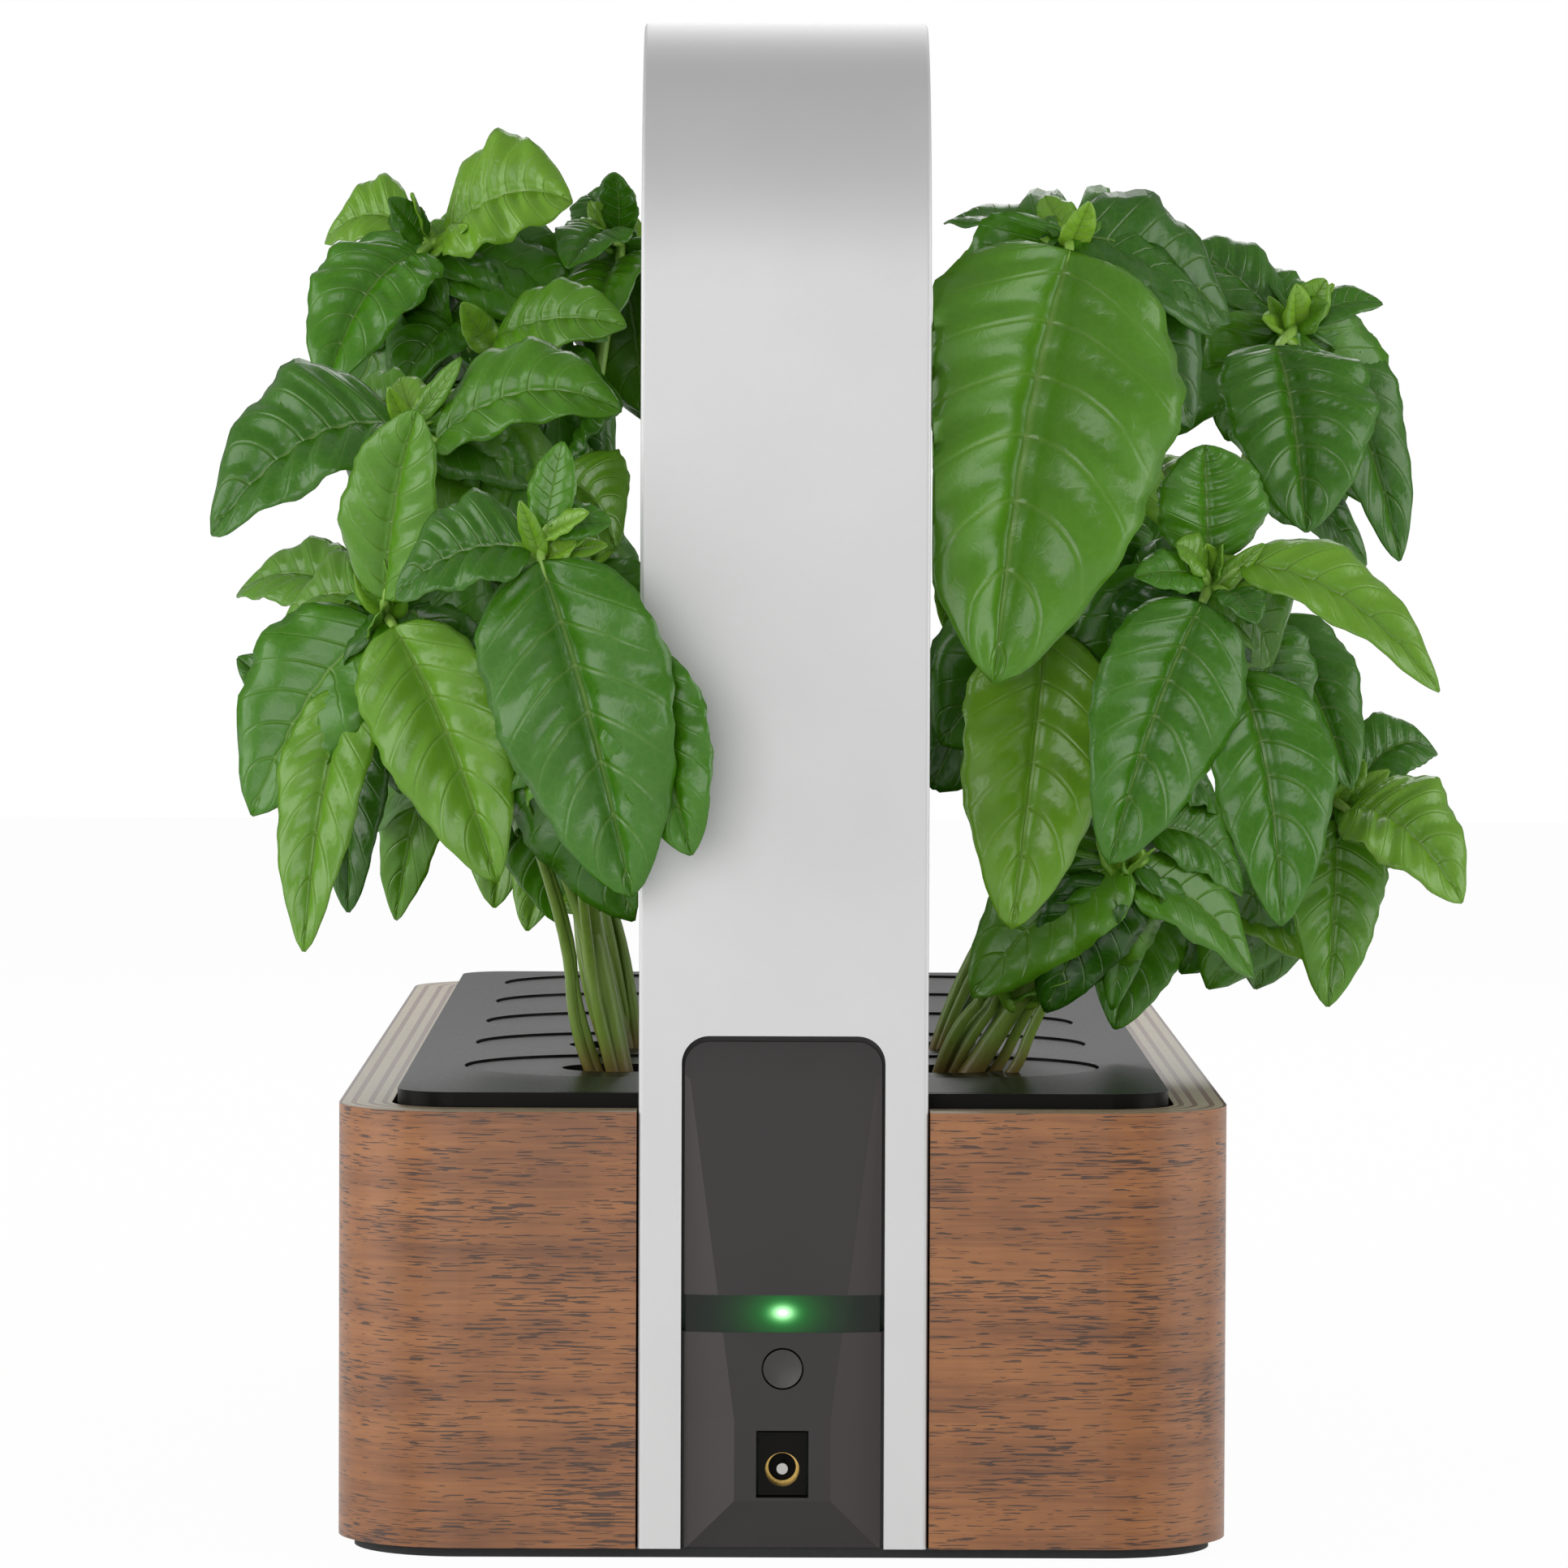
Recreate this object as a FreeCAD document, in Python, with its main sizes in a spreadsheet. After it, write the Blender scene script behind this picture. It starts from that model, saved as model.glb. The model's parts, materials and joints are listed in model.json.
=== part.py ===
import FreeCAD, Part
import math
import os
import Sketcher
from FreeCAD import Rotation, Vector

# Countertop hydroponic garden: a walnut band split by a bent aluminium arch, a black lid with ten
# pods and four basil plants. X runs to the right of the panel, -Y faces the panel, Z is up, and
# the origin is the middle of the foot pad's underside.

DIMENSIONS = {
    "baseWide": 168, "baseLong": 386, "bandTall": 81.7, "bandThick": 10, "bandCorner": 23.4,
    "padThick": 2, "padInset": 3, "fitGap": 0.4, "plateThick": 3,
    "archWide": 54, "archThick": 3.5, "archTall": 287, "archCorner": 52, "archEdge": 0.8,
    "bracketTall": 40, "bracketDeep": 15, "bracketWide": 36, "bracketThick": 2, "bracketSpread": 22,
    "screwShank": 3.4, "screwHead": 6.5, "screwHeadTall": 2,
    "panelWide": 36.8, "panelTall": 94.8, "panelSlotWide": 38, "panelSlotTop": 96,
    "panelCorner": 4.6, "panelThick": 4, "lipReach": 3, "lipThick": 1, "seatGap": 0.05, "panelSink": 0.7, "faceTop": 87.9, "faceTopHalf": 17.4,
    "faceBend": 24, "faceHalf": 9, "faceBottom": 8.9, "facetSlope": 0.2,
    "windowLow": 40.5, "windowTall": 7, "windowSink": 0.2, "ledTall": 3.4,
    "buttonHigh": 33.7, "buttonWide": 7.2, "buttonGap": 0.35, "buttonStroke": 0.8,
    "buttonStem": 5, "jackWide": 9, "jackTall": 11.8, "jackLow": 9.9,
    "jackBore": 6.4, "jackHigh": 14.7, "jackPin": 2.1, "jackSink": 1.2,
    "boardThick": 1.6, "boardTall": 44, "boardWide": 48,
    "tankGap": 5, "tankFront": 34, "tankBack": 12, "tankWall": 2, "tankCorner": 12,
    "lidGap": 1.1, "lidThick": 4, "lidProud": 2.8, "lidInset": 11, "lidCorner": 11,
    "grooveIn": 2, "grooveWide": 0.8, "grooveDeep": 0.5, "grooveLong": 86,
    "podSpread": 64.4, "podPitch": 63.5, "podFront": 80.7, "podRear": 51.3, "podWide": 59.4, "podGap": 0.45,
    "capSink": 0.5, "ledgeWide": 2.5, "ledgeTall": 1.2, "capHole": 22,
    "skirtTall": 8, "skirtWall": 1.6, "basketTop": 50, "basketFoot": 34, "basketTall": 48,
    "basketWall": 1.5, "plugClear": 0.3, "plugTall": 38,
    "pumpWide": 34, "pumpTall": 22, "pumpWall": 2, "pumpClear": 3, "shaftWide": 4,
    "shaftGap": 0.05, "impellerWide": 22, "impellerTall": 10, "riserWide": 8, "riserBore": 5,
    "riserTall": 30, "guideWide": 5, "guideTall": 44, "guidePlace": 50, "floatWide": 14,
    "floatTall": 12, "floatGap": 0.3, "floatHigh": 20,
    "lampEnd": 10, "lampWide": 46, "lampTall": 8, "lampWall": 1.6, "chipWide": 5, "chipTall": 1, "chipPitch": 18, "chipRows": 20, "coverThick": 1.5,
    "ductWide": 18, "ductThick": 3, "ductEnd": 10,
    "leafThick": 0.9, "stalkThick": 1.2, "stemThick": 5.2, "twigThick": 2.6,
}

doc = FreeCAD.newDocument("HydroponicGarden")
sheet = doc.addObject("Spreadsheet::Sheet", "dim")
for row, (name, value) in enumerate(DIMENSIONS.items(), 1):
    sheet.set(f"A{row}", name)
    sheet.set(f"B{row}", str(value))
    sheet.setAlias(f"B{row}", name)
doc.recompute()
NAMES = sorted(DIMENSIONS, key=len, reverse=True)
parts = {}


def size(text):
    return float(sheet.evalExpression(text))


def bound(text):
    for alias in NAMES:
        text = text.replace(alias, "\0" + str(NAMES.index(alias)) + "\0")
    pieces = text.split("\0")
    pieces[1::2] = ["dim." + NAMES[int(number)] for number in pieces[1::2]]
    return "".join(pieces)


def bind(thing, **expressions):
    for prop, text in expressions.items():
        thing.setExpression(prop.replace("_", "."), bound(text))
    return thing


def place(thing, x, y, z):
    return bind(thing, Placement_Base_x=x, Placement_Base_y=y, Placement_Base_z=z)


def box(name, centre, sizes):
    # A block centred in X and Y on its place, standing on it in Z
    (x, y, z), (wide, deep, tall) = centre, sizes
    block = bind(doc.addObject("Part::Box", name), Length=wide, Width=deep, Height=tall)
    return place(block, f"{x} - ({wide}) / 2", f"{y} - ({deep}) / 2", z)


def rod(name, foot, diameter, tall, top=None):
    if top:
        kind = "Part::Cone"
        sizes = {"Radius1": f"({diameter}) / 2", "Radius2": f"({top}) / 2"}
    else:
        kind = "Part::Cylinder"
        sizes = {"Radius": f"({diameter}) / 2"}
    return place(bind(doc.addObject(kind, name), Height=tall, **sizes), *foot)


def level_rod(name, foot, diameter, tall):
    # A rod that runs along +Y from its foot
    item = rod(name, foot, diameter, tall)
    item.Placement.Rotation = Rotation(Vector(1, 0, 0), -90)
    return item


def cut(name, base, *tools):
    tool = tools[0] if len(tools) == 1 else fuse(name + "_tools", *tools)
    result = doc.addObject("Part::Cut", name)
    result.Base, result.Tool = base, tool
    return result


def fuse(name, *shapes):
    result = doc.addObject("Part::MultiFuse", name)
    result.Shapes = list(shapes)
    return result


def node(label, thing):
    thing.Label = label
    parts[label] = thing
    return thing


def plane(body, role):
    return next(item for item in body.Origin.OriginFeatures if item.Role == role)


def rectangle(body, role, name, wide, tall):
    # A sketched rectangle centred on the body's origin
    sketch = body.newObject("Sketcher::SketchObject", name)
    sketch.AttachmentSupport = (plane(body, role), "")
    sketch.MapMode = "FlatFace"
    a, b = size(wide) / 2, size(tall) / 2
    corners = [Vector(-a, -b), Vector(a, -b), Vector(a, b), Vector(-a, b)]
    for index in range(4):
        sketch.addGeometry(Part.LineSegment(corners[index], corners[(index + 1) % 4]))
        side = "Vertical" if index % 2 else "Horizontal"
        sketch.addConstraint(Sketcher.Constraint(side, index))
    for index in range(4):
        sketch.addConstraint(Sketcher.Constraint("Coincident", index, 2, (index + 1) % 4, 1))
    sketch.addConstraint(Sketcher.Constraint("Symmetric", 0, 1, 1, 2, -1, 1))
    for axis, text, line in (("DistanceX", wide, 0), ("DistanceY", tall, 1)):
        number = sketch.addConstraint(Sketcher.Constraint(axis, line, 1, line, 2, size(text)))
        sketch.setExpression(f"Constraints[{number}]", bound(text))
    return sketch


def slab(name, y, z, wide, deep, tall, corner):
    # A padded rectangle with rounded upright corners
    body = doc.addObject("PartDesign::Body", name)
    pad = body.newObject("PartDesign::Pad", name + "_pad")
    pad.Profile = rectangle(body, "XY_Plane", name + "_sketch", wide, deep)
    bind(pad, Length=tall)
    doc.recompute()
    upright = [f"Edge{number}" for number, edge in enumerate(pad.Shape.Edges, 1)
               if abs(edge.Vertexes[0].Z - edge.Vertexes[-1].Z) > 0.01]
    rounding = body.newObject("PartDesign::Fillet", name + "_rounding")
    rounding.Base = (pad, upright)
    bind(rounding, Radius=corner)
    body.Tip = rounding
    return place(body, "0", y, z)


def solid(name, shape):
    feature = doc.addObject("Part::Feature", name)
    feature.Shape = shape
    return feature


# Foot, plywood band and inner plate
def make_base():
    node("foot_pad", slab("pad", "0", "0", "baseWide - 2 * padInset", "baseLong - 2 * padInset",
                          "padThick", "bandCorner - padInset"))
    outer = slab("band_outer", "0", "padThick", "baseWide", "baseLong", "bandTall", "bandCorner")
    inner = slab("band_inner", "0", "padThick", "baseWide - 2 * bandThick",
                 "baseLong - 2 * bandThick", "bandTall", "bandCorner - bandThick")
    for side, sign in (("left", "-1"), ("right", "1")):
        blank = cut(f"band_{side}_ring", outer, inner)
        keep = box(f"band_{side}_half", (f"{sign} * (archWide / 2 + fitGap + baseWide / 2)", "0", "0"),
                   ("baseWide", "baseLong", "padThick + bandTall"))
        half = doc.addObject("Part::Common", f"band_{side}")
        half.Base, half.Tool = blank, keep
        node(f"plywood_band_{side}", half)
    node("base_plate", slab("plate", "0", "padThick", "baseWide - 2 * bandThick - 2 * fitGap",
                            "baseLong - 2 * bandThick - 2 * fitGap", "plateThick",
                            "bandCorner - bandThick - fitGap"))


# One aluminium strip bent over the garden, with the slot for the panel in its front leg
def make_arch():
    half, top = size("baseLong / 2"), size("padThick + archTall")
    radius, thick, foot = size("archCorner"), size("archThick"), size("padThick")

    def arc(sign, bend):
        centre = Vector(0, sign * (half - radius), top - radius)
        aim = [Vector(0, sign * math.cos(turn), math.sin(turn)) * bend
               for turn in (0, math.pi / 4, math.pi / 2)]
        return [centre + step for step in aim]

    def outline(bend, inset):
        front, back = arc(-1, bend), arc(1, bend)
        feet = Vector(0, inset - half, foot), Vector(0, half - inset, foot)
        return [Part.LineSegment(feet[0], front[0]), Part.Arc(*front),
                Part.LineSegment(front[2], back[2]), Part.Arc(back[2], back[1], back[0]),
                Part.LineSegment(back[0], feet[1])]

    outside, inside = outline(radius, 0), outline(radius - thick, thick)
    ends = [Part.LineSegment(Vector(0, sign * half, foot), Vector(0, sign * (half - thick), foot))
            for sign in (-1, 1)]
    edges = [curve.toShape() for curve in outside + inside + ends]
    wire = Part.Wire(Part.__sortEdges__(edges))
    strip = Part.Face(wire).extrude(Vector(size("archWide"), 0, 0))
    strip.translate(Vector(-size("archWide / 2"), 0, 0))
    rim = [edge for edge in strip.Edges
           if abs(edge.BoundBox.XLength) < 0.01 and edge.BoundBox.ZMax > foot + 1
           and abs(abs(edge.BoundBox.Center.x) - size("archWide / 2")) < 0.01]
    strip = strip.makeFillet(size("archEdge"), rim)
    blank = solid("arch_strip", strip)
    node("arch", cut("arch_cut", blank, panel_blank("slot", "panelSlotWide", "panelSlotTop",
                                                    "-baseLong / 2 - archThick", "3 * archThick",
                                                    "panelCorner + 0.6", 10)))


def panel_blank(name, wide, tall, front, deep, corner, below):
    # An upright plate with two rounded top corners, as the slot and the panel both are
    a, b, r = size(f"{wide}") / 2, size(tall) + size("padThick"), size(corner)
    low, y = size("padThick") - below, size(front)
    bend = r * (1 - math.sqrt(0.5))
    edges = [Part.LineSegment(Vector(-a, y, low), Vector(a, y, low)),
             Part.LineSegment(Vector(a, y, low), Vector(a, y, b - r)),
             Part.Arc(Vector(a, y, b - r), Vector(a - bend, y, b - bend), Vector(a - r, y, b)),
             Part.LineSegment(Vector(a - r, y, b), Vector(r - a, y, b)),
             Part.Arc(Vector(r - a, y, b), Vector(bend - a, y, b - bend), Vector(-a, y, b - r)),
             Part.LineSegment(Vector(-a, y, b - r), Vector(-a, y, low))]
    face = Part.Face(Part.Wire([edge.toShape() for edge in edges]))
    return solid(name + "_blank", face.extrude(Vector(0, size(deep), 0)))


def facet(start, end, outward, low=-300, high=300):
    # A block whose tilted side cuts one facet of the panel, outward from the line start-end, and
    # only between the two heights
    reach = 200
    slope = size("facetSlope")
    along = (end - start).normalize()
    fall = (outward + Vector(0, slope, 0)).normalize()
    normal = along.cross(fall).normalize()
    if normal.y > 0:
        normal = -normal
    corners = [start - along * reach - fall * 0.001, end + along * reach - fall * 0.001,
               end + along * reach + fall * reach, start - along * reach + fall * reach]
    block = Part.Face(Part.makePolygon(corners + corners[:1])).extrude(normal * reach)
    side = 4 * size("baseLong")
    room = Part.makeBox(side, side, high - low, Vector(-side / 2, -side / 2, low))
    return block.common(room)


def make_panel():
    front = "panelSink - baseLong / 2"
    y, foot = size(front), size("padThick")
    blank = panel_blank("panel", "panelWide", "panelTall", front, "panelThick", "panelCorner", 0)
    shape = blank.Shape
    low, bend, high = (foot + size(text) for text in ("faceBottom", "faceBend", "faceTop"))
    near, far = size("faceHalf"), size("faceTopHalf")
    shape = shape.cut(facet(Vector(-far, y, high), Vector(far, y, high), Vector(0, 0, 1)))
    shape = shape.cut(facet(Vector(-near, y, low), Vector(near, y, low), Vector(0, 0, -1)))
    for sign in (-1, 1):
        slant = Vector(sign * (far - near), 0, high - bend).normalize()
        outward = Vector(sign * slant.z, 0, -abs(slant.x))
        shape = shape.cut(facet(Vector(sign * near, y, bend), Vector(sign * far, y, high), outward,
                                low=bend))
        shape = shape.cut(facet(Vector(sign * near, y, low), Vector(sign * near, y, bend),
                                Vector(sign, 0, 0), high=bend))
    # A lip behind the leg closes the gap round the panel
    lip_y, lip_tall = size("archThick + seatGap - baseLong / 2"), size("panelSlotTop + lipReach")
    lip_wide = size("panelSlotWide + 2 * lipReach")
    lip = Part.makeBox(lip_wide, size("lipThick"), lip_tall, Vector(-lip_wide / 2, lip_y, foot))
    faceted = solid("panel_faceted", shape)
    backed = solid("panel_backed", shape.fuse(lip))
    middle = f"{front} + panelThick / 2"
    window = box("window_band", ("0", middle, "padThick + windowLow"),
                 ("panelWide + 2", "2 * panelThick", "windowTall"))
    button = level_rod("button_hole", ("0", f"{front} - 1", "padThick + buttonHigh"),
                       "buttonWide + 2 * buttonGap", "panelThick + 2")
    jack = box("jack_slot", ("0", middle, "padThick + jackLow - fitGap"),
               ("jackWide + 2 * fitGap", "2 * panelThick", "jackTall + 2 * fitGap"))
    spine = box("panel_spine", ("0", f"{front} + panelThick - 0.5", "padThick + windowLow - 1"),
                ("panelWide - 4", "1", "windowTall + 2"))
    node("front_panel", fuse("panel_whole", cut("panel_cut", backed, window, button, jack), spine))
    insert = doc.addObject("Part::Common", "window_insert")
    insert.Base = faceted
    insert.Tool = box("window_room", ("0", f"{front} + (panelThick - 1 + windowSink) / 2",
                                      "padThick + windowLow"),
                      ("panelWide - 0.4", "panelThick - 1 - windowSink", "windowTall"))
    lamp = box("led_room", ("0", f"{front} + panelThick - 1 - 0.6", "padThick + windowLow + 2.6"),
               ("ledTall", "1.4", "ledTall"))
    node("indicator_window", cut("window_cut", insert, lamp))
    node("status_led", box("led_chip", ("0", f"{front} + panelThick - 1 - 0.6",
                                        "padThick + windowLow + 2.6"), ("ledTall", "1.2", "ledTall")))


def make_button():
    front, high = "panelSink - baseLong / 2", "padThick + buttonHigh"
    cap = level_rod("button_cap", ("0", front, high), "buttonWide", "panelThick")
    rim = level_rod("button_flange", ("0", f"{front} + panelThick + 0.1", high), "buttonWide + 2.4", "1")
    neck = level_rod("button_neck", ("0", f"{front} + panelThick - 0.2", high), "buttonStem", "1")
    dish = doc.addObject("Part::Sphere", "button_dish")
    bind(dish, Radius="3 * buttonWide")
    place(dish, "0", f"{front} - 3 * buttonWide + 0.3", high)
    node("power_button", cut("button", fuse("button_whole", cap, rim, neck), dish))
    seat = f"{front} + panelThick + 1.1 + buttonStroke + 0.3"
    body = box("switch_body", ("0", f"{seat} + 1.75", f"{high} - 3"), ("6", "3.5", "6"))
    node("button_switch", body)
    board = "panelSink - baseLong / 2 + panelThick + 1.4 + buttonStroke + 3.5"
    node("control_board", box("board", ("0", f"{board} + boardThick / 2", "padThick + plateThick"),
                              ("boardWide", "boardThick", "boardTall")))


def make_jack():
    front, high = "panelSink + jackSink - baseLong / 2", "padThick + jackHigh"
    deep = "(panelThick + 1.4 + buttonStroke + 3.5 - jackSink)"
    block = box("jack_block", ("0", f"{front} + {deep} / 2", "padThick + jackLow"),
                ("jackWide", deep, "jackTall"))
    bore = level_rod("jack_bore", ("0", f"{front} - 1", high), "jackBore", f"{deep} * 0.8 + 1")
    foot, long = ("0", f"{front} + 1", high), f"{deep} - 1.3"
    well = level_rod("pin_well", foot, "jackPin", long)
    node("dc_jack", cut("jack", block, bore, well))
    node("jack_pin", level_rod("pin_rod", foot, "jackPin", long))
    ring = level_rod("ring_outer", ("0", f"{front} + 4.4", high), "jackBore - 0.02", "1.8")
    hole = level_rod("ring_hole", ("0", f"{front} + 4", high), "jackBore - 1.2", "4")
    node("jack_contact", cut("ring", ring, hole))


# The rear leg stands on the foot pad, held by an angle bracket and two screws
def make_bracket():
    inner, floor = "baseLong / 2 - archThick", "padThick + plateThick"
    upright = box("bracket_up", ("0", f"{inner} - bracketThick / 2", floor),
                  ("bracketWide", "bracketThick", "bracketTall"))
    level = box("bracket_level", ("0", f"{inner} - bracketDeep / 2", floor),
                ("bracketWide", "bracketDeep", "bracketThick"))
    reach = "screwHeadTall + bracketThick + archThick / 2"
    holes = []
    for index, side in enumerate(("-1", "1")):
        spot = (f"{side} * bracketSpread / 2", f"{inner} - bracketThick - screwHeadTall",
                f"{floor} + bracketTall * 0.7")
        head = level_rod(f"screw_head_{index}", spot, "screwHead", "screwHeadTall")
        shank = level_rod(f"screw_shank_{index}", spot, "screwShank", reach)
        node(f"bracket_screw_{index + 1}", fuse(f"screw_{index}", head, shank))
        holes.append(level_rod(f"screw_hole_{index}", spot, "screwShank + 0.06", reach + " + 0.02"))
    drill = fuse("screw_holes", *holes)
    node("arch_bracket", cut("bracket", fuse("bracket_whole", upright, level), drill))
    node("arch", cut("arch_drilled", parts["arch"], drill))


TANK_FRONT = "(bandThick + tankFront + tankWall - baseLong / 2)"


def make_tank():
    wide = "(baseWide - 2 * bandThick - 2 * tankGap)"
    tall = "bandTall + lidProud - lidThick - plateThick"
    deep, y = "baseLong - 2 * bandThick - tankFront - tankBack", "(tankFront - tankBack) / 2"
    floor = "padThick + plateThick"
    outer = slab("tank_outer", y, floor, wide, deep, tall, "tankCorner")
    inner = slab("tank_inner", y, f"{floor} + tankWall", f"{wide} - 2 * tankWall",
                 f"{deep} - 2 * tankWall", tall, "tankCorner - tankWall")
    node("water_tank", cut("tank", outer, inner))


def make_pump():
    # The pump lies in the tank's front corner strip, clear of the baskets
    y = f"{TANK_FRONT} + pumpWide / 2 + pumpClear"
    floor = "padThick + plateThick + tankWall"
    shell = rod("pump_shell", ("0", y, floor), "pumpWide", "pumpTall")
    room = rod("pump_room", ("0", y, f"{floor} + pumpWall"), "pumpWide - 2 * pumpWall",
               "pumpTall - 2 * pumpWall")
    intake = rod("pump_intake", ("0", y, f"{floor} + pumpTall - pumpWall - 1"), "9", "pumpWall + 2")
    port = rod("riser_hole", ("0", f"{y} + pumpWide / 2 - 7", f"{floor} + pumpTall - pumpWall - 1"),
               "riserBore", "pumpWall + 2")
    shaft = rod("pump_shaft", ("0", y, f"{floor} + pumpWall"), "shaftWide", "impellerTall + 3")
    node("pump_housing", fuse("pump", cut("pump_hollow", shell, room, intake, port), shaft))
    hub = rod("impeller_hub", ("0", y, f"{floor} + pumpWall + 1"), "shaftWide + 4", "impellerTall")
    blades = [box(f"blade_{turn}", ("0", "0", "0"), ("impellerWide", "1.6", "impellerTall"))
              for turn in range(3)]
    for turn, blade in enumerate(blades):
        blade.Placement.Rotation = Rotation(Vector(0, 0, 1), 60 * turn)
        angle = math.radians(60 * turn)
        a, b = math.cos(angle), math.sin(angle)
        place(blade, f"-{a:.6f} * impellerWide / 2 + {b:.6f} * 0.8",
              f"{y} - {b:.6f} * impellerWide / 2 - {a:.6f} * 0.8", f"{floor} + pumpWall + 1")
    bore = rod("impeller_bore", ("0", y, f"{floor} + pumpWall"), "shaftWide + 2 * shaftGap",
               "impellerTall + 4")
    node("pump_impeller", cut("impeller", fuse("impeller_whole", hub, *blades), bore))
    tube = rod("riser_tube", ("0", f"{y} + pumpWide / 2 - 7", f"{floor} + pumpTall"), "riserWide",
               "riserTall")
    bore = rod("riser_bore", ("0", f"{y} + pumpWide / 2 - 7", f"{floor} + pumpTall - 1"),
               "riserBore", "riserTall + 2")
    node("pump_riser", cut("riser", tube, bore))


def make_float():
    x, y = "guidePlace", f"{TANK_FRONT} + floatWide / 2 + pumpClear"
    floor = "padThick + plateThick + tankWall"
    post = rod("guide_post", (x, y, floor), "guideWide", "guideTall")
    cap = rod("guide_cap", (x, y, f"{floor} + guideTall"), "guideWide + 4", "1.5")
    node("float_guide", fuse("guide", post, cap))
    body = rod("float_body", (x, y, f"{floor} + floatHigh"), "floatWide", "floatTall")
    bore = rod("float_bore", (x, y, f"{floor} + floatHigh - 1"), "guideWide + 2 * floatGap",
               "floatTall + 2")
    node("water_float", cut("float", body, bore))


LID_TOP = "(padThick + bandTall + lidProud)"


def row_place(row):
    return f"(podFront + {row} * podPitch - baseLong / 2)"


def pod_places():
    rows = 1 + int(size("(baseLong - podFront - podRear) / podPitch") + 0.001)
    for row in range(rows):
        for column, sign in enumerate(("-1", "1")):
            yield row, column, f"{sign} * podSpread / 2", row_place(row)


def make_lid():
    plate = slab("lid_plate", "0", f"{LID_TOP} - lidThick", "baseWide - 2 * bandThick - 2 * lidGap", "baseLong - 2 * lidInset",
                 "lidThick", "lidCorner")
    tools = []
    for row, column, x, y in pod_places():
        tools.append(rod(f"lid_hole_{row}{column}", (x, y, f"{LID_TOP} - lidThick - 1"),
                         "podWide - 2 * ledgeWide", "lidThick + 2"))
        tools.append(rod(f"lid_seat_{row}{column}", (x, y, f"{LID_TOP} - lidThick + ledgeTall"),
                         "podWide + 2 * podGap", "lidThick"))
    for end in ("-1", "1"):
        tools.append(box("groove" + end, ("0", f"{end} * (baseLong / 2 - lidInset - grooveIn)",
                                          f"{LID_TOP} - grooveDeep"),
                         ("grooveLong", "grooveWide", "2 * grooveDeep")))
    node("lid", cut("lid_cut", plate, *tools))


def make_pods():
    for row, column, x, y in pod_places():
        tag = f"{2 * row + column + 1:02d}"
        top = f"{LID_TOP} - capSink"
        disc = rod(f"cap_disc_{tag}", (x, y, f"{top} - (lidThick - capSink - ledgeTall)"), "podWide",
                   "lidThick - capSink - ledgeTall")
        under = f"{LID_TOP} - lidThick"
        skirt = rod(f"cap_skirt_{tag}", (x, y, f"{under} - skirtTall"), "basketTop + 2 * skirtWall",
                    "skirtTall + ledgeTall + 0.5")
        planted = row < 2
        hollow = rod(f"cap_hollow_{tag}", (x, y, f"{under} - skirtTall - 1"), "basketTop",
                     "skirtTall + ledgeTall + 1")
        whole = fuse(f"cap_whole_{tag}", disc, skirt)
        if not planted:
            node(f"pod_cap_{tag}", cut(f"cap_{tag}", whole, hollow))
            continue
        eye = rod(f"cap_eye_{tag}", (x, y, f"{under} - skirtTall"), "capHole",
                  "skirtTall + lidThick + 2")
        node(f"pod_cap_{tag}", cut(f"cap_{tag}", whole, hollow, eye))
        make_basket(tag, x, y, f"{under} + ledgeTall")


def make_basket(tag, x, y, top):
    # A tapered net basket hung in the cap's skirt, with a plug of growing foam
    foot = (x, y, f"{top} - basketTall")
    shell = rod(f"basket_shell_{tag}", foot, "basketFoot", "basketTall",
                "basketTop - 0.04")
    room = rod(f"basket_room_{tag}", (x, y, f"{top} - basketTall + basketWall"),
               "basketFoot - 2 * basketWall", "basketTall", "basketTop - 2 * basketWall")
    slots = []
    for turn in range(4):
        slot = box(f"basket_slot_{tag}{turn}", ("0", "0", "0"), ("basketTop + 4", "5", "24"))
        slot.Placement.Rotation = Rotation(Vector(0, 0, 1), 45 * turn)
        a, b = math.cos(math.radians(45 * turn)), math.sin(math.radians(45 * turn))
        place(slot, f"{x} - {a:.6f} * (basketTop + 4) / 2 + {b:.6f} * 2.5",
              f"{y} - {b:.6f} * (basketTop + 4) / 2 - {a:.6f} * 2.5", f"{top} - basketTall + 8")
        slots.append(slot)
    node(f"net_basket_{tag}", cut(f"basket_{tag}", shell, room, *slots))
    narrow = "basketFoot - 2 * basketWall - 2 * plugClear"
    node(f"grow_plug_{tag}", rod(f"plug_{tag}", (x, y, f"{top} - basketTall + basketWall"), narrow,
                                 "plugTall", f"{narrow} + 6"))


LAMP_LONG = "(baseLong - 2 * archCorner - 2 * lampEnd)"


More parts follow.
